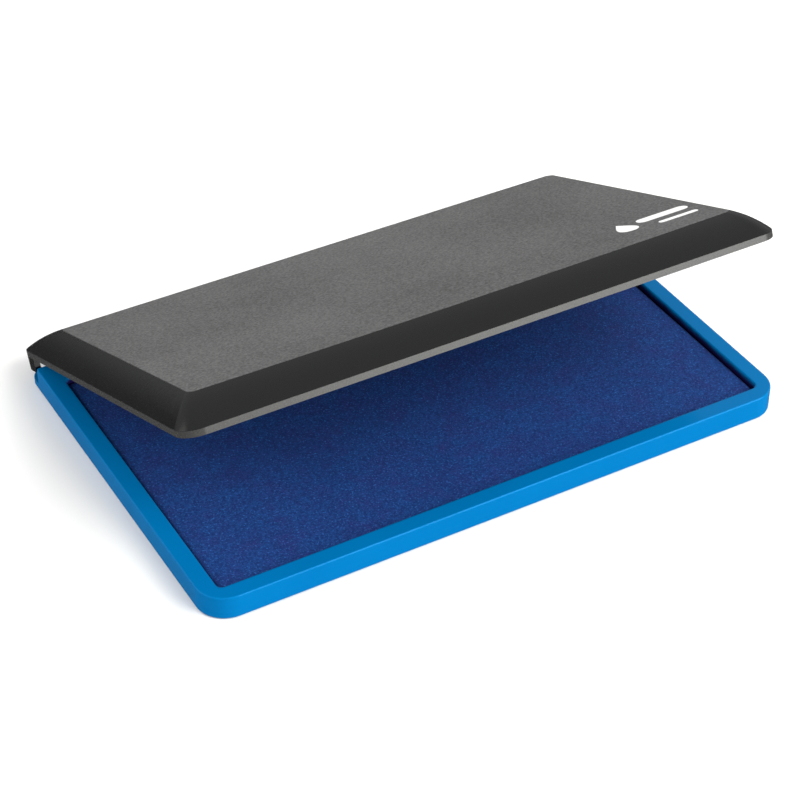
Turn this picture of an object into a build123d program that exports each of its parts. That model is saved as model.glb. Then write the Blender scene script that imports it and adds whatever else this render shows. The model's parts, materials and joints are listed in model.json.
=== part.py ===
"""An ink pad for rubber stamps: a moulded tray holding an ink-soaked cloth pad, under a hinged lid
that stands half open.

Millimetres and degrees. +X runs along the length of the tray, +Y from the front to the hinge and +Z up.
The origin is the centre of the tray's underside, not counting the hinge ledge.
"""

import os
from math import cos, radians, sin

from build123d import *

# Tray
tray_width = 170.0
tray_depth = 107.2
tray_height = 6.7
tray_floor = 1.2
tray_corner = 8.0
tray_rear_corner = 1.0
rim_edge = 0.45
foot_chamfer = 0.25
wall = 1.4

# Opening in the tray, where the pad lies
window_width = 160.0
window_depth = 94.0
window_corner = 1.6
window_edge = 0.8
front_rim = 5.0

# Ledge behind the tray, under the hinge
ledge_reach = 5.4
ledge_height = 2.0
ledge_corner = 4.0

# Hinge
hinge_reach = 4.7
hinge_z = 6.2
pin_radius = 0.8
pin_play = 0.05
lug_radius = 1.8
lug_width = 4.0
lug_outer = 80.0
lug_base_gap = 0.6
pin_tip = 77.0

# Pad, from the floor of the tray up
plate_thickness = 0.8
plate_gap = 0.6
cloth_thickness = 0.5
pad_gap = 0.3
pad_drop = 1.6
pad_corner = 1.4
pad_edge = 0.45

# Lid, measured from the hinge pin with the lid shut
lid_width = 169.6
lid_front_overhang = 1.3
lid_rear = 3.6
lid_lift = 0.6
band_height = 1.75
lid_height = 8.35
lid_corner = 5.5
lid_rear_corner = 3.0
lid_wall = 1.6
side_bevel = 7.3
front_bevel = 10.3
rear_bevel = 16.0
bevel_bulge = 0.11
plateau_corner = 2.0
plateau_bow = 1.2
plateau_edge = 0.3

# Ears at the lid's rear corners, and the rib that centres the lid in the tray
ear_front = -3.7
ear_bottom = -2.85
ear_tip = 0.8
ear_round = 3.8
rib_gap = 0.5
rib_thickness = 1.2
rib_depth = 1.0
notch_gap = 0.5

# The angle at which the lid stands open
rest_angle = 23.1

tray_front = -tray_depth / 2
tray_rear = tray_depth / 2
window_y = tray_front + front_rim + window_depth / 2
hinge_y = tray_rear + hinge_reach
pad_top = tray_height - pad_drop
pad_bottom = tray_floor + plate_thickness

lid_front = tray_front - lid_front_overhang - hinge_y
band_bottom = tray_height + lid_lift - hinge_z
band_top = band_bottom + band_height
plateau = tray_height + lid_height - hinge_z
ceiling = plateau - lid_wall
bend = band_top - lid_wall / 3

# Halfway up, a bevel is drawn in by less than half its width, so that it bulges outwards
shoulder = (band_top + plateau) / 2
shoulder_inset = 0.5 - bevel_bulge

# The lid is drawn as if shut, on a plane through the hinge pin that is tilted to the open position
lid_plane = Plane(
    origin=(0, hinge_y, hinge_z),
    x_dir=(1, 0, 0),
    z_dir=(0, sin(radians(rest_angle)), cos(radians(rest_angle))),
)


def tray_outline(margin):
    """The tray's footprint drawn in by a margin, as a sketch on the ground."""
    with BuildSketch() as outline:
        Rectangle(tray_width - 2 * margin, tray_depth - 2 * margin)
        fillet(outline.vertices().group_by(Axis.Y)[0], tray_corner - margin)
        fillet(outline.vertices().group_by(Axis.Y)[-1], tray_rear_corner)
    return outline.sketch


def lid_outline(height, side, front, rear, front_corner, rear_corner, bow=0.0):
    """The lid's outline at a height above the pin, drawn in at its sides, front and rear."""
    x = lid_width / 2 - side
    y_front = lid_front + front
    y_rear = lid_rear - rear
    with BuildSketch(lid_plane.offset(height)) as outline:
        with BuildLine():
            Polyline((x, y_front), (x, y_rear), (-x, y_rear), (-x, y_front))
            if bow:
                ThreePointArc((-x, y_front), (0, y_front - bow), (x, y_front))
            else:
                Line((-x, y_front), (x, y_front))
        make_face()
        fillet(outline.vertices().group_by(Axis.Y)[0], front_corner)
        fillet(outline.vertices().group_by(Axis.Y)[-1], rear_corner)
    return outline.sketch


def ceiling_inset(bevel):
    """How far in from the lid's edge the underside of a bevel meets the ceiling of the lid."""
    rise = plateau - band_top
    slope = rise / bevel
    thickness_across = lid_wall * (1 + slope**2) ** 0.5 / slope
    return (ceiling - band_top) / slope + thickness_across


with BuildPart() as base_tray:
    extrude(tray_outline(0), amount=tray_height)
    fillet(base_tray.faces().sort_by(Axis.Z)[-1].outer_wire().edges(), rim_edge)
    with BuildSketch(Plane.XY) as ledge:
        with Locations((0, tray_rear)):
            Rectangle(tray_width, 2 * ledge_reach)
        fillet(ledge.vertices().group_by(Axis.Y)[-1], ledge_corner)
    extrude(amount=ledge_height)
    chamfer(base_tray.faces().sort_by(Axis.Z)[0].outer_wire().edges(), foot_chamfer)

    # the recess for the pad, with a soft edge around its mouth
    with BuildSketch(Plane.XY.offset(tray_floor)):
        with Locations((0, window_y)):
            RectangleRounded(window_width, window_depth, window_corner)
    extrude(amount=tray_height, mode=Mode.SUBTRACT)
    rim_face = base_tray.faces().sort_by(Axis.Z)[-1]
    fillet(rim_face.inner_wires()[0].edges(), window_edge)

    # the groove under the rim, which leaves the walls thin
    with BuildSketch(Plane.XY):
        add(tray_outline(wall))
        with Locations((0, window_y)):
            RectangleRounded(
                window_width + 2 * wall,
                window_depth + 2 * wall,
                window_corner + wall,
                mode=Mode.SUBTRACT,
            )
    extrude(amount=tray_height - wall, mode=Mode.SUBTRACT)

    # two lugs on the ledge carry the lid's pins
    for lug_x in (-lug_outer, lug_outer - lug_width):
        with BuildSketch(Plane.YZ.offset(lug_x)):
            with Locations((hinge_y, hinge_z)):
                Circle(lug_radius)
            with Locations((tray_rear + ledge_reach / 2, ledge_height / 2)):
                Rectangle(ledge_reach - 2 * lug_base_gap, ledge_height)
            make_hull()
        extrude(amount=lug_width)
    with BuildSketch(Plane.YZ.offset(-lug_outer)):
        with Locations((hinge_y, hinge_z)):
            Circle(pin_radius + pin_play)
    extrude(amount=2 * lug_outer, mode=Mode.SUBTRACT)

with BuildPart() as backing_plate:
    with BuildSketch(Plane.XY.offset(tray_floor)):
        with Locations((0, window_y)):
            RectangleRounded(window_width - 2 * plate_gap, window_depth - 2 * plate_gap, pad_corner)
    extrude(amount=plate_thickness)

with BuildPart() as felt_core:
    with BuildSketch(Plane.XY.offset(pad_bottom)):
        with Locations((0, window_y)):
            RectangleRounded(
                window_width - 2 * (pad_gap + cloth_thickness),
                window_depth - 2 * (pad_gap + cloth_thickness),
                pad_corner - cloth_thickness,
            )
    extrude(amount=pad_top - pad_bottom - cloth_thickness)

with BuildPart() as ink_cloth:
    with BuildSketch(Plane.XY.offset(pad_bottom)):
        with Locations((0, window_y)):
            RectangleRounded(window_width - 2 * pad_gap, window_depth - 2 * pad_gap, pad_corner)
    extrude(amount=pad_top - pad_bottom)
    fillet(ink_cloth.edges().group_by(Axis.Z)[-1], pad_edge)
    add(felt_core.part, mode=Mode.SUBTRACT)

ear_plane = Plane(lid_plane.origin, x_dir=lid_plane.y_dir, z_dir=lid_plane.x_dir)
lid_up = Axis(lid_plane.origin, lid_plane.z_dir)

with BuildPart() as lid_shell:
    # an ear at each rear corner, cut to the outline of the lid
    for side in (-1, 1):
        with BuildSketch(ear_plane.offset(side * (lid_width / 2 - lid_wall))) as ear:
            with Locations((ear_front, ear_bottom)):
                Rectangle(lid_rear - ear_front, band_top - ear_bottom, align=(Align.MIN, Align.MIN))
            for end, radius in ((0, ear_tip), (-1, ear_round)):
                lower_corners = ear.vertices().group_by(Axis.Y)[0].sort_by(Axis.X)
                fillet(lower_corners[end], radius)
        extrude(amount=side * lid_wall)
    edge_outline = lid_outline(ear_bottom, 0, 0, 0, lid_corner, lid_rear_corner)
    extrude(edge_outline, amount=band_top - ear_bottom, mode=Mode.INTERSECT)

    # the upright band around the edge, and the bevels that rise from it to the plateau
    extrude(lid_outline(band_bottom, 0, 0, 0, lid_corner, lid_rear_corner), amount=band_height)
    loft(
        [
            lid_outline(band_top, 0, 0, 0, lid_corner, lid_rear_corner),
            lid_outline(
                shoulder,
                side_bevel * shoulder_inset,
                front_bevel * shoulder_inset,
                rear_bevel * shoulder_inset,
                (lid_corner + plateau_corner) / 2,
                (lid_rear_corner + plateau_corner) / 2,
                plateau_bow / 2,
            ),
            lid_outline(
                plateau, side_bevel, front_bevel, rear_bevel, plateau_corner, plateau_corner, plateau_bow
            ),
        ]
    )
    fillet(lid_shell.faces().sort_by(lid_up)[-1].outer_wire().edges(), plateau_edge)

    # the hollow under the lid, whose wall bends inwards a little below the bend outside
    hollow = (lid_wall, lid_wall, lid_wall, lid_corner - lid_wall, lid_rear_corner / 2)
    extrude(lid_outline(band_bottom, *hollow), amount=bend - band_bottom, mode=Mode.SUBTRACT)
    loft(
        [
            lid_outline(bend, *hollow),
            lid_outline(
                ceiling,
                ceiling_inset(side_bevel),
                ceiling_inset(front_bevel),
                ceiling_inset(rear_bevel),
                plateau_corner,
                plateau_corner,
            ),
        ],
        ruled=True,
        mode=Mode.SUBTRACT,
    )

    # the rib that drops into the mouth of the tray, up to the underside of the lid
    rib_outer = (window_width - 2 * rib_gap, window_depth - 2 * rib_gap)
    with BuildSketch(lid_plane.offset(band_bottom - rib_depth)):
        with Locations((0, window_y - hinge_y)):
            RectangleRounded(*rib_outer, window_corner)
            RectangleRounded(
                rib_outer[0] - 2 * rib_thickness,
                rib_outer[1] - 2 * rib_thickness,
                window_corner / 2,
                mode=Mode.SUBTRACT,
            )
    extrude(until=Until.NEXT)

    # a notch in the rear wall over each lug, so that the lid can swing back past upright
    for lug_x in (-lug_outer, lug_outer - lug_width):
        with BuildSketch(lid_plane.offset(band_bottom)):
            with Locations((lug_x + lug_width / 2, lid_rear)):
                Rectangle(lug_width + 2 * notch_gap, 2 * lid_wall)
        extrude(amount=bend - band_bottom, mode=Mode.SUBTRACT)

    # a stub pin on the inner face of each ear
    for side in (-1, 1):
        with BuildSketch(ear_plane.offset(side * pin_tip)):
            Circle(pin_radius)
        extrude(amount=side * (lid_width / 2 - lid_wall / 2 - pin_tip))

os.makedirs("parts", exist_ok=True)
pieces = {
    "base_tray": base_tray,
    "backing_plate": backing_plate,
    "felt_core": felt_core,
    "ink_cloth": ink_cloth,
    "lid_shell": lid_shell,
}
for name, piece in pieces.items():
    piece.part.label = name
    export_step(piece.part, f"parts/{name}.step")
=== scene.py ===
"""The look of an ink pad: a blue moulded tray with an ink-soaked pad, under a black hinged lid.

Metres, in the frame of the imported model. +X runs along the tray, +Y from the front to the hinge, +Z up.
"""

import json
from math import cos, radians, sin, tau

import bmesh
import bpy
from mathutils import Matrix, Vector, noise


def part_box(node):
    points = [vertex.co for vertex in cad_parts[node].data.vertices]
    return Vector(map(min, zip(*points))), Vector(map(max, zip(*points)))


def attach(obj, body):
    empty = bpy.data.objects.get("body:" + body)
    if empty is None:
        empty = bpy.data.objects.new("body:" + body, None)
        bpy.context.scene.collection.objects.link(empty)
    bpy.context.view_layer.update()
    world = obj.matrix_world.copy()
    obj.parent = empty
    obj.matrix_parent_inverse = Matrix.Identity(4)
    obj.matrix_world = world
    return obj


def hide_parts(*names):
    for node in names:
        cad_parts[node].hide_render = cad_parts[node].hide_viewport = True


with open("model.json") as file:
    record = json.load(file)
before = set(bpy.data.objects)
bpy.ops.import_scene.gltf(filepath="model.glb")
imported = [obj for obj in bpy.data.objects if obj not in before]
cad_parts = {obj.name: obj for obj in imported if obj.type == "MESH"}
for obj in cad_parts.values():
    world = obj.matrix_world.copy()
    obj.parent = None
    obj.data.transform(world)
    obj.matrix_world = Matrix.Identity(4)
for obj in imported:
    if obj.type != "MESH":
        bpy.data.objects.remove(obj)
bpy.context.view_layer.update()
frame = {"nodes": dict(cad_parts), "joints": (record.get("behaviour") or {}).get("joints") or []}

MM = 0.001

# Camera
CAMERA_AZIMUTH = radians(-29.53)
CAMERA_ELEVATION = radians(38.39)
CAMERA_DISTANCE = 0.6095
CAMERA_RIGHT = -0.0043
CAMERA_UP = -0.0011
CAMERA_LENS = 101.35
CAMERA_SENSOR = 36
CAMERA_SHIFT = (0.0113, 0.0036)

# Lid: how far it stands open, and heights above the hinge along the normal of its top face
LID_ANGLE = radians(23.1)
PLATEAU_HEIGHT = 8.85 * MM
BAND_BOTTOM = 1.1 * MM
BAND_TOP = 2.85 * MM
hinge = Vector(frame["joints"][0]["pos_m"])
lid_normal = Vector((0, sin(LID_ANGLE), cos(LID_ANGLE)))
lid_back = Vector((0, cos(LID_ANGLE), -sin(LID_ANGLE)))


# ---------------------------------------------------------------- node helpers

# Nearly all of a noise texture's values lie between these
NOISE_LOW = 0.3
NOISE_HIGH = 0.7


def new_material(name):
    material = bpy.data.materials.new(name)
    material.use_nodes = True
    nodes = material.node_tree.nodes
    return material, nodes, material.node_tree.links, nodes["Principled BSDF"]


def object_coords(nodes):
    return nodes.new("ShaderNodeTexCoord").outputs["Object"]


def noise_node(nodes, links, coords, scale, detail=3.0, roughness=0.55):
    node = nodes.new("ShaderNodeTexNoise")
    node.inputs["Scale"].default_value = scale
    node.inputs["Detail"].default_value = detail
    node.inputs["Roughness"].default_value = roughness
    links.new(coords, node.inputs["Vector"])
    return node.outputs["Fac"]


def remap(nodes, links, value, low, high, new_low, new_high):
    node = nodes.new("ShaderNodeMapRange")
    node.inputs["From Min"].default_value = low
    node.inputs["From Max"].default_value = high
    node.inputs["To Min"].default_value = new_low
    node.inputs["To Max"].default_value = new_high
    links.new(value, node.inputs["Value"])
    return node.outputs["Result"]


def spread(nodes, links, value, low, high):
    """Stretches a noise value to run from low to high."""
    return remap(nodes, links, value, NOISE_LOW, NOISE_HIGH, low, high)


def maths(nodes, links, operation, a, b):
    node = nodes.new("ShaderNodeMath")
    node.operation = operation
    for socket, value in zip(node.inputs, (a, b)):
        if isinstance(value, float):
            socket.default_value = value
        else:
            links.new(value, socket)
    return node.outputs["Value"]


def mix_colour(nodes, links, factor, a, b):
    node = nodes.new("ShaderNodeMix")
    node.data_type = "RGBA"
    links.new(factor, node.inputs["Factor"])
    for socket, value in ((node.inputs["A"], a), (node.inputs["B"], b)):
        if isinstance(value, tuple):
            socket.default_value = (*value, 1)
        else:
            links.new(value, socket)
    return node.outputs["Result"]


def bump(nodes, links, shader, height, distance):
    node = nodes.new("ShaderNodeBump")
    node.inputs["Distance"].default_value = distance
    links.new(height, node.inputs["Height"])
    links.new(node.outputs["Normal"], shader.inputs["Normal"])


# ---------------------------------------------------------------- materials

TRAY_BLUE = (0.0004, 0.150, 0.400)
TRAY_BLUE_DEEP = (0.0002, 0.136, 0.370)
TRAY_FLOW_SCALE = 28
TRAY_GRAIN_SCALE = 2600
TRAY_ROUGHNESS = (0.13, 0.21)
TRAY_METALLIC = 0.06
TRAY_REFLECTION = 0.09
TRAY_REFLECTION_TINT = (0.5, 0.8, 1.0, 1)
TRAY_RELIEF = 0.006 * MM
# Dark purple on the inner walls beside the pad: partly ink stain, partly painted shade
INK_STAIN_AND_SHADE = (0.014, 0.008, 0.075)
STAIN_AND_SHADE_REACH = (0.45 * MM, 0.75 * MM)
STAIN_AND_SHADE_HEIGHT = (1.0 * MM, 2.3 * MM)
WICKING_SCALE = 260
WICKING_HEIGHT = 1.2 * MM


def ink_stain_and_shade(nodes, links, coords):
    """How much ink stain and painted shade a point carries: full beside the pad, and wicked unevenly up the
    wall above it. The darkening is partly ink and partly painted shade where the walls meet the pad.
    """
    low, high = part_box("ink_cloth")
    centre = (low + high) / 2
    split = nodes.new("ShaderNodeSeparateXYZ")
    links.new(coords, split.inputs[0])
    past_pad = []
    for axis, middle, reach in (("X", centre.x, high.x - centre.x), ("Y", centre.y, high.y - centre.y)):
        from_middle = maths(nodes, links, "SUBTRACT", split.outputs[axis], middle)
        distance = maths(nodes, links, "ABSOLUTE", from_middle, 0.0)
        past_pad.append(maths(nodes, links, "SUBTRACT", distance, reach))
    beside_pad = maths(nodes, links, "MAXIMUM", past_pad[0], past_pad[1])
    near = remap(nodes, links, beside_pad, *STAIN_AND_SHADE_REACH, 1, 0)
    wicking = maths(nodes, links, "MULTIPLY", noise_node(nodes, links, coords, WICKING_SCALE), WICKING_HEIGHT)
    height = maths(nodes, links, "ADD", split.outputs["Z"], wicking)
    low_on_wall = remap(nodes, links, height, high.z + STAIN_AND_SHADE_HEIGHT[0], high.z + STAIN_AND_SHADE_HEIGHT[1], 1, 0)
    return maths(nodes, links, "MULTIPLY", near, low_on_wall)


def tray_material():
    """Blue moulded plastic with a satin skin, darkened on the walls beside the pad by ink stain and painted
    shade.
    """
    material, nodes, links, shader = new_material("tray_blue")
    coords = object_coords(nodes)
    flow = spread(nodes, links, noise_node(nodes, links, coords, TRAY_FLOW_SCALE, 2), 0, 1)
    blue = mix_colour(nodes, links, flow, TRAY_BLUE_DEEP, TRAY_BLUE)
    stain_and_shade = ink_stain_and_shade(nodes, links, coords)
    # Ink stain and painted shade darken the walls beside the pad
    links.new(mix_colour(nodes, links, stain_and_shade, blue, INK_STAIN_AND_SHADE), shader.inputs["Base Color"])
    grain = noise_node(nodes, links, coords, TRAY_GRAIN_SCALE, 2)
    links.new(spread(nodes, links, grain, *TRAY_ROUGHNESS), shader.inputs["Roughness"])
    shader.inputs["Metallic"].default_value = TRAY_METALLIC
    shader.inputs["Specular IOR Level"].default_value = TRAY_REFLECTION
    shader.inputs["Specular Tint"].default_value = TRAY_REFLECTION_TINT
    bump(nodes, links, shader, grain, TRAY_RELIEF)
    return material


LID_BLACK = (0.002, 0.002, 0.0022)
# Lighter grey on the upright band: a painted reflection of the pale floor it faces
BAND_PAINTED_REFLECTION = (0.042, 0.042, 0.042)
# The top face's grey is partly the grained plastic's own tone and partly painted sheen from broad light
# scattered off its grain; the mottle across it is random
FACE_DARK_AND_SHEEN = (0.040, 0.040, 0.041)
FACE_LIGHT_AND_SHEEN = (0.166, 0.166, 0.167)
TOP_FADE = (-0.12 * MM, -0.04 * MM)
BAND_TOP_FADE = (-0.1 * MM, 0.0)
BAND_BOTTOM_FADE = (-0.2 * MM, -0.1 * MM)
CLOUD_SCALE = 26
CLOUD_STRENGTH = 0.45
SPECK_SCALE = 1400
SPECK_EDGE = (0.35, 0.65)
SPECK_STRENGTH = (0.15, 1.45)
LID_GRAIN_SCALE = 1500
SATIN_ROUGHNESS = (0.22, 0.30)
MATT_ROUGHNESS = (0.58, 0.72)
LID_REFLECTION = 0.33
LID_RELIEF = 0.03 * MM
SATIN_RELIEF_SHARE = 0.2


def lid_colour(nodes, links, coords, height, base, on_top):
    """Mottled grey on the top face, partly painted sheen; a lighter upright band round the edge, which is a
    painted reflection; and black elsewhere.
    """
    cloud = spread(nodes, links, noise_node(nodes, links, coords, CLOUD_SCALE, 4), 0, CLOUD_STRENGTH)
    fine = noise_node(nodes, links, coords, SPECK_SCALE, 2, 0.7)
    speck = remap(nodes, links, fine, *SPECK_EDGE, *SPECK_STRENGTH)
    mottle = remap(nodes, links, maths(nodes, links, "ADD", cloud, speck), 0, 2, 0, 1)
    # Grey of the top face, partly painted sheen
    face_and_sheen = mix_colour(nodes, links, mottle, FACE_DARK_AND_SHEEN, FACE_LIGHT_AND_SHEEN)
    top_low, top_high = (base + BAND_TOP + fade for fade in BAND_TOP_FADE)
    bottom_low, bottom_high = (base + BAND_BOTTOM + fade for fade in BAND_BOTTOM_FADE)
    above_band = remap(nodes, links, height, top_low, top_high, 0, 1)
    below_band = remap(nodes, links, height, bottom_low, bottom_high, 1, 0)
    off_band = maths(nodes, links, "MAXIMUM", above_band, below_band)
    # The band's lighter grey is a painted reflection; the rest of the sides is plain black
    side = mix_colour(nodes, links, off_band, BAND_PAINTED_REFLECTION, LID_BLACK)
    return mix_colour(nodes, links, on_top, side, face_and_sheen)


def lid_material():
    """Black plastic: satin bevels and band, and a finely grained top face that scatters the light. The top
    face's grey is partly painted sheen, and the band's lighter grey is a painted reflection.
    """
    material, nodes, links, shader = new_material("lid_black")
    coords = object_coords(nodes)
    along_normal = nodes.new("ShaderNodeVectorMath")
    along_normal.operation = "DOT_PRODUCT"
    along_normal.inputs[1].default_value = lid_normal
    links.new(coords, along_normal.inputs[0])
    height = along_normal.outputs["Value"]
    base = hinge.dot(lid_normal)
    face_low, face_high = (base + PLATEAU_HEIGHT + fade for fade in TOP_FADE)
    on_top = remap(nodes, links, height, face_low, face_high, 0, 1)
    links.new(lid_colour(nodes, links, coords, height, base, on_top), shader.inputs["Base Color"])
    grain = noise_node(nodes, links, coords, LID_GRAIN_SCALE)
    blend = nodes.new("ShaderNodeMix")
    links.new(on_top, blend.inputs["Factor"])
    links.new(spread(nodes, links, grain, *SATIN_ROUGHNESS), blend.inputs["A"])
    links.new(spread(nodes, links, grain, *MATT_ROUGHNESS), blend.inputs["B"])
    links.new(blend.outputs["Result"], shader.inputs["Roughness"])
    shader.inputs["Specular IOR Level"].default_value = LID_REFLECTION
    share = remap(nodes, links, on_top, 0, 1, SATIN_RELIEF_SHARE, 1)
    bump(nodes, links, shader, maths(nodes, links, "MULTIPLY", grain, share), LID_RELIEF)
    return material


CLOTH_DEEP = (0.006, 0.046, 0.195)
CLOTH_BLUE = (0.009, 0.059, 0.24)
CLOTH_PURPLE = (0.017, 0.027, 0.150)
CLOTH_CLUMP = (0.004, 0.026, 0.125)
CLOTH_FLECK = (0.028, 0.15, 0.47)
SOAK_SCALE = 38
PATCH_SCALE = 150
PATCH_EDGE = (0.42, 0.66)
PATCH_STRENGTH = 0.85
CLUMP_SCALE = 1500
CLUMP_EDGE = (0.36, 0.64)
FIBRE_SCALE = 2000
FLECK_EDGE = (0.55, 0.70)
THREAD_PITCH = 0.42 * MM
WEAVE_SHARE = 0.25
CLOTH_ROUGHNESS = 0.7
CLOTH_REFLECTION = 0.2
CLOTH_REFLECTION_TINT = (0.6, 0.5, 1.0, 1)
CLOTH_SHEEN = 0.025
CLOTH_SHEEN_ROUGHNESS = 0.5
CLOTH_SHEEN_TINT = (0.9, 0.3, 0.6, 1)
CLOTH_RELIEF = 0.12 * MM


def weave(nodes, links, coords):
    """Crossed threads, as the product of a wave along X and one along Y."""
    split = nodes.new("ShaderNodeSeparateXYZ")
    links.new(coords, split.inputs[0])
    waves = []
    for axis in ("X", "Y"):
        phase = maths(nodes, links, "MULTIPLY", split.outputs[axis], tau / THREAD_PITCH)
        waves.append(maths(nodes, links, "SINE", phase, 0.0))
    return maths(nodes, links, "MULTIPLY", waves[0], waves[1])


def cloth_material():
    """Ink-soaked cloth: a fine weave, darker where the ink lies deep, with purple patches and pale flecks."""
    material, nodes, links, shader = new_material("ink_cloth_blue")
    coords = object_coords(nodes)
    fibre = noise_node(nodes, links, coords, FIBRE_SCALE, 4, 0.7)
    soak = spread(nodes, links, noise_node(nodes, links, coords, SOAK_SCALE), 0, 1)
    fresh = mix_colour(nodes, links, soak, CLOTH_DEEP, CLOTH_BLUE)
    blotch = noise_node(nodes, links, coords, PATCH_SCALE, 4, 0.65)
    patch = remap(nodes, links, blotch, *PATCH_EDGE, 0, PATCH_STRENGTH)
    base = mix_colour(nodes, links, patch, fresh, CLOTH_PURPLE)
    clump = remap(nodes, links, noise_node(nodes, links, coords, CLUMP_SCALE, 2, 0.6), *CLUMP_EDGE, 0, 1)
    shade = mix_colour(nodes, links, clump, CLOTH_CLUMP, base)
    fleck = remap(nodes, links, fibre, *FLECK_EDGE, 0, 1)
    links.new(mix_colour(nodes, links, fleck, shade, CLOTH_FLECK), shader.inputs["Base Color"])
    shader.inputs["Roughness"].default_value = CLOTH_ROUGHNESS
    shader.inputs["Specular IOR Level"].default_value = CLOTH_REFLECTION
    shader.inputs["Specular Tint"].default_value = CLOTH_REFLECTION_TINT
    shader.inputs["Sheen Weight"].default_value = CLOTH_SHEEN
    shader.inputs["Sheen Roughness"].default_value = CLOTH_SHEEN_ROUGHNESS
    shader.inputs["Sheen Tint"].default_value = CLOTH_SHEEN_TINT
    threads = maths(nodes, links, "MULTIPLY", weave(nodes, links, coords), WEAVE_SHARE)
    bump(nodes, links, shader, maths(nodes, links, "ADD", threads, fibre), CLOTH_RELIEF)
    return material


PLATE_DARK = (0.42, 0.43, 0.45)
PLATE_LIGHT = (0.52, 0.53, 0.55)
PLATE_GRAIN_SCALE = 420
PLATE_ROUGHNESS = 0.55
PLATE_RELIEF = 0.02 * MM


def plate_material():
    """Pale stiffening sheet with a fine grain."""
    material, nodes, links, shader = new_material("plate_grey")
    grain = noise_node(nodes, links, object_coords(nodes), PLATE_GRAIN_SCALE)
    tone = spread(nodes, links, grain, 0, 1)
    links.new(mix_colour(nodes, links, tone, PLATE_DARK, PLATE_LIGHT), shader.inputs["Base Color"])
    shader.inputs["Roughness"].default_value = PLATE_ROUGHNESS
    bump(nodes, links, shader, grain, PLATE_RELIEF)
    return material


PRINT_THIN = (0.90, 0.90, 0.90)
PRINT_FULL = (0.97, 0.97, 0.97)
PRINT_SCALE = 1800
PRINT_ROUGHNESS = 0.5


def print_material():
    """White printing ink, a little uneven."""
    material, nodes, links, shader = new_material("print_white")
    cover = spread(nodes, links, noise_node(nodes, links, object_coords(nodes), PRINT_SCALE), 0, 1)
    links.new(mix_colour(nodes, links, cover, PRINT_THIN, PRINT_FULL), shader.inputs["Base Color"])
    shader.inputs["Roughness"].default_value = PRINT_ROUGHNESS
    return material


def dress(node, material):
    """Gives a carried-over CAD node a material."""
    slots = frame["nodes"][node].data.materials
    slots.clear()
    slots.append(material)


def add_piece(name, mesh, material, smooth=False):
    """Turns a finished bmesh into an object in the scene, its faces turned outwards."""
    bmesh.ops.recalc_face_normals(mesh, faces=mesh.faces)
    data = bpy.data.meshes.new(name)
    mesh.to_mesh(data)
    mesh.free()
    data.polygons.foreach_set("use_smooth", [smooth] * len(data.polygons))
    data.materials.append(material)
    piece = bpy.data.objects.new(name, data)
    bpy.context.scene.collection.objects.link(piece)
    return piece


# ---------------------------------------------------------------- the pad

PAD_CORNER = 1.4 * MM
PAD_EDGE = 0.45 * MM
PAD_RELIEF = 0.05 * MM
PAD_PITCH = 0.8 * MM
SWELL_SCALE = 60
RIPPLE_SCALE = 700
RIPPLE_LAYER = 4


def soft_block(name, low, high, material):
    """A closed soft block in a box: rounded top edge, and a top that rises and falls a little."""
    centre = (low + high) / 2
    half = (high - low) / 2
    mesh = bmesh.new()
    columns = round(2 * half.x / PAD_PITCH)
    rows = round(2 * half.y / PAD_PITCH)

    def place(i, j):
        """A grid point drawn onto the rounded rectangle, with how far it is from the edge."""
        x = (2 * i / columns - 1) * half.x
        y = (2 * j / rows - 1) * half.y
        over_x = max(abs(x) - (half.x - PAD_CORNER), 0)
        over_y = max(abs(y) - (half.y - PAD_CORNER), 0)
        reach = (over_x**2 + over_y**2) ** 0.5
        if over_x and over_y and reach:
            pull = max(over_x, over_y) / reach
            x -= (1 - pull) * over_x * (1 if x > 0 else -1)
            y -= (1 - pull) * over_y * (1 if y > 0 else -1)
            inside = PAD_CORNER - max(over_x, over_y)
        else:
            inside = min(half.x - abs(x), half.y - abs(y))
        return x, y, max(inside, 0)

    def top_height(x, y, inside):
        """Rounds the edge over, and lifts the cloth between its low and high spots."""
        into = max(1 - inside / PAD_EDGE, 0)
        rounding = PAD_EDGE * (1 - (1 - into**2) ** 0.5)
        swell = noise.noise(Vector((x, y, 0)) * SWELL_SCALE)
        ripple = noise.noise(Vector((x, y, RIPPLE_LAYER)) * RIPPLE_SCALE)
        hollow = 0.5 - (swell + ripple) / 4
        return half.z - rounding - PAD_RELIEF * hollow * min(inside / (2 * PAD_EDGE), 1)

    top = {}
    for i in range(columns + 1):
        for j in range(rows + 1):
            x, y, inside = place(i, j)
            top[i, j] = mesh.verts.new(centre + Vector((x, y, top_height(x, y, inside))))
    for i in range(columns):
        for j in range(rows):
            mesh.faces.new((top[i, j], top[i + 1, j], top[i + 1, j + 1], top[i, j + 1]))
    rim = [(i, 0) for i in range(columns)] + [(columns, j) for j in range(rows)]
    rim += [(i, rows) for i in range(columns, 0, -1)] + [(0, j) for j in range(rows, 0, -1)]
    foot = [mesh.verts.new((top[k].co.x, top[k].co.y, low.z)) for k in rim]
    for n, k in enumerate(rim):
        after = (n + 1) % len(rim)
        mesh.faces.new((top[k], foot[n], foot[after], top[rim[after]]))
    mesh.faces.new(foot[::-1])
    return add_piece(name, mesh, material, smooth=True)


def add_pad():
    """The cloth, stretched over the felt. It fills the cloth's box and stands for both plain CAD solids."""
    low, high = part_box("ink_cloth")
    cloth = soft_block("cloth_cover", low, high, cloth_material())
    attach(cloth, "base")
    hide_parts("ink_cloth", "felt_core")


# ---------------------------------------------------------------- the printed mark

PRINT_THICKNESS = 0.03 * MM

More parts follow.
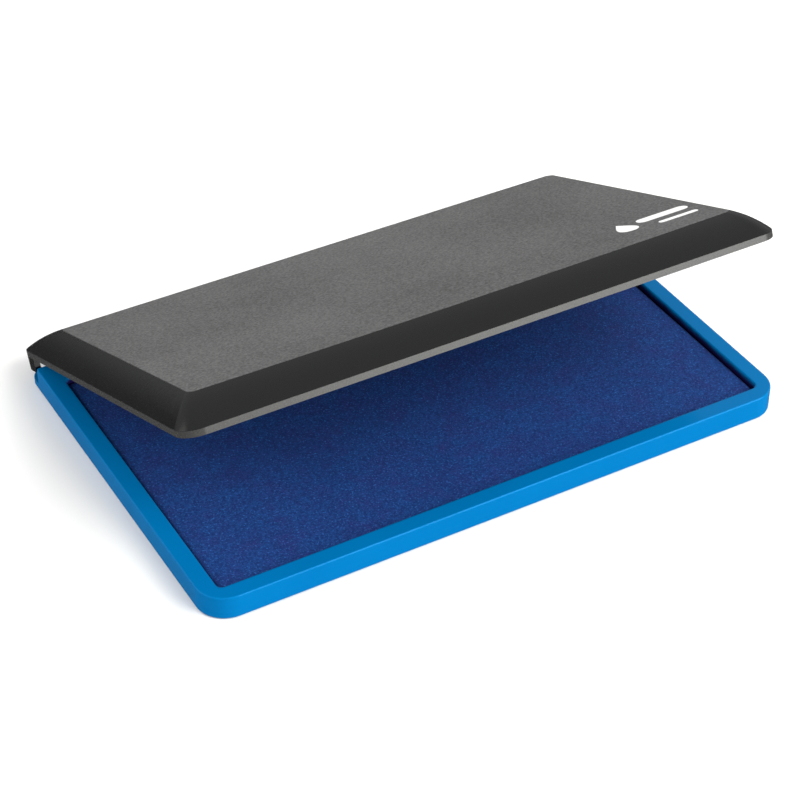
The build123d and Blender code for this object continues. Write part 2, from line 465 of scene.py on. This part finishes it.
# Places on the lid's top face in millimetres: x along the hinge, y back from it
DROP_CENTRE = (54.0, -88.2)
DROP_RADIUS = 2.6
DROP_LENGTH = 8.6
DROP_FULLNESS = 1.6
DROP_TAPER = 1.5
DROP_STEPS = 36
LONG_BAR = {"x0": 58.8, "x1": 74.6, "y": -86.9, "half_height": 1.9}
SHORT_BAR = {"x0": 61.6, "x1": 73.8, "y": -93.2, "half_height": 1.0}
BAR_ROUNDING = 0.98
BAR_CORNER_STEPS = 8


def on_lid(x, y, lift=0.0):
    """A point on the lid's top face, from its place there in millimetres."""
    return hinge + Vector((x * MM, 0, 0)) + lid_back * (y * MM) + lid_normal * (PLATEAU_HEIGHT + lift)


def printed_shape(name, outline, material):
    """A thin closed plate of printing ink on the lid."""
    mesh = bmesh.new()
    below = [mesh.verts.new(on_lid(x, y)) for x, y in outline]
    above = [mesh.verts.new(on_lid(x, y, PRINT_THICKNESS)) for x, y in outline]
    mesh.faces.new(below[::-1])
    mesh.faces.new(above)
    for n in range(len(outline)):
        after = (n + 1) % len(outline)
        mesh.faces.new((below[n], below[after], above[after], above[n]))
    piece = add_piece(name, mesh, material)
    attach(piece, "lid")


def drop_outline():
    """An ink drop, round in front and drawn out to a tip behind."""
    x, y = DROP_CENTRE
    points = []
    for step in range(DROP_STEPS):
        angle = tau * step / DROP_STEPS
        width = DROP_RADIUS * sin(angle) * sin(angle / 2) ** DROP_TAPER * DROP_FULLNESS
        points.append((x + width, y + DROP_LENGTH / 2 * cos(angle)))
    return points


def bar_outline(x0, x1, y, half_height):
    """A bar with round ends, anticlockwise."""
    middle = (x0 + x1) / 2
    half_length = (x1 - x0) / 2
    corner = half_height * BAR_ROUNDING
    points = []
    for turn, (side, rise) in enumerate(((1, 1), (-1, 1), (-1, -1), (1, -1))):
        for step in range(BAR_CORNER_STEPS + 1):
            angle = tau / 4 * (turn + step / BAR_CORNER_STEPS)
            across = side * (half_length - corner) + corner * cos(angle)
            up = rise * (half_height - corner) + corner * sin(angle)
            points.append((middle + across, y + up))
    return points


def add_mark():
    """A plain drop and two bars, where such a pad carries its print."""
    white = print_material()
    printed_shape("print_drop", drop_outline(), white)
    printed_shape("print_bar_long", bar_outline(**LONG_BAR), white)
    printed_shape("print_bar_short", bar_outline(**SHORT_BAR), white)


# ---------------------------------------------------------------- floor, light and camera

FLOOR_REACH = 4.0
FLOOR_DROP = 0.0002
FLOOR_PALE = (0.9, 0.9, 0.9)
# Painted shade on the far floor, standing for light falling off away from the object
FLOOR_PAINTED_SHADE = (0.3, 0.3, 0.3)
FLOOR_ROUGHNESS = 0.9
PALE_WITHIN = 0.42
DARK_BEYOND = 1.2


def add_floor():
    """A pale floor with painted shade that darkens it well away from the object, and that the object doesn't
    mirror.
    """
    mesh = bpy.data.meshes.new("floor")
    reach = FLOOR_REACH
    corners = [(-reach, -reach, 0), (reach, -reach, 0), (reach, reach, 0), (-reach, reach, 0)]
    mesh.from_pydata(corners, [], [(0, 1, 2, 3)])
    floor = bpy.data.objects.new("floor", mesh)
    bpy.context.scene.collection.objects.link(floor)
    material, nodes, links, shader = new_material("floor_pale")
    distance = nodes.new("ShaderNodeVectorMath")
    distance.operation = "LENGTH"
    links.new(object_coords(nodes), distance.inputs[0])
    fade = remap(nodes, links, distance.outputs["Value"], PALE_WITHIN, DARK_BEYOND, 0, 1)
    # Painted shade: the floor darkens with distance from the object
    links.new(mix_colour(nodes, links, fade, FLOOR_PALE, FLOOR_PAINTED_SHADE), shader.inputs["Base Color"])
    shader.inputs["Roughness"].default_value = FLOOR_ROUGHNESS
    mesh.materials.append(material)
    floor.location.z = -FLOOR_DROP
    floor.visible_glossy = False


# Brightness of the world, and the heights and depths of a unit direction over which it changes
HORIZON_FRONT = 0.4
HORIZON_BACK = 0.48
HORIZON_REACH = 0.7
OVERHEAD = 0.85
OVERHEAD_ABOVE = 0.9
UNDERSIDE = 0.2
UNDERSIDE_BELOW = -0.05


def add_world():
    """Soft studio light: bright overhead, dimmer along the horizon and dark below it."""
    world = bpy.data.worlds.new("studio")
    bpy.context.scene.world = world
    world.use_nodes = True
    nodes, links = world.node_tree.nodes, world.node_tree.links
    split = nodes.new("ShaderNodeSeparateXYZ")
    links.new(nodes.new("ShaderNodeTexCoord").outputs["Generated"], split.inputs[0])
    depth, rise = split.outputs["Y"], split.outputs["Z"]
    horizon = remap(nodes, links, depth, -HORIZON_REACH, HORIZON_REACH, HORIZON_FRONT, HORIZON_BACK)
    upward = remap(nodes, links, rise, 0, OVERHEAD_ABOVE, 0, 1)
    gain = maths(nodes, links, "MULTIPLY", upward, maths(nodes, links, "SUBTRACT", OVERHEAD, horizon))
    above = remap(nodes, links, rise, UNDERSIDE_BELOW, 0, UNDERSIDE, 1)
    light = maths(nodes, links, "MULTIPLY", above, maths(nodes, links, "ADD", horizon, gain))
    nodes["Background"].inputs["Color"].default_value = (1, 1, 1, 1)
    links.new(light, nodes["Background"].inputs["Strength"])


SOFTBOX_DISTANCE = 1.4
SOFTBOX_COLOUR = (1, 1, 0.96)


def direction(azimuth, elevation):
    """The unit vector from the object that way: azimuth 0 is the front, and grows towards +X."""
    return Vector((sin(azimuth) * cos(elevation), -cos(azimuth) * cos(elevation), sin(elevation)))


def add_softbox(name, azimuth, elevation, width, height, watts):
    data = bpy.data.lights.new(name, "AREA")
    data.shape = "RECTANGLE"
    data.size = width
    data.size_y = height
    data.energy = watts
    data.color = SOFTBOX_COLOUR
    light = bpy.data.objects.new(name, data)
    towards = direction(radians(azimuth), radians(elevation))
    light.location = towards * SOFTBOX_DISTANCE
    light.rotation_mode = "QUATERNION"
    light.rotation_quaternion = (-towards).to_track_quat("-Z", "Y")
    bpy.context.scene.collection.objects.link(light)


def add_camera():
    right = Vector((cos(CAMERA_AZIMUTH), sin(CAMERA_AZIMUTH), 0))
    back = direction(CAMERA_AZIMUTH, CAMERA_ELEVATION)
    up = back.cross(right)
    data = bpy.data.cameras.new("camera")
    data.lens = CAMERA_LENS
    data.sensor_width = CAMERA_SENSOR
    data.shift_x, data.shift_y = CAMERA_SHIFT
    camera = bpy.data.objects.new("camera", data)
    turn = Matrix((right, up, back)).transposed().to_4x4()
    place = Matrix.Translation(CAMERA_RIGHT * right + CAMERA_UP * up + CAMERA_DISTANCE * back)
    camera.matrix_world = place @ turn
    bpy.context.scene.collection.objects.link(camera)
    bpy.context.scene.camera = camera


dress("base_tray", tray_material())
dress("lid_shell", lid_material())
dress("backing_plate", plate_material())
add_pad()
add_mark()
add_floor()
add_world()
add_softbox("key", azimuth=34, elevation=29, width=1.0, height=1.6, watts=34)
add_softbox("fill", azimuth=-105, elevation=24, width=1.6, height=1.4, watts=12)
add_camera()
bpy.context.scene.view_settings.view_transform = "Standard"
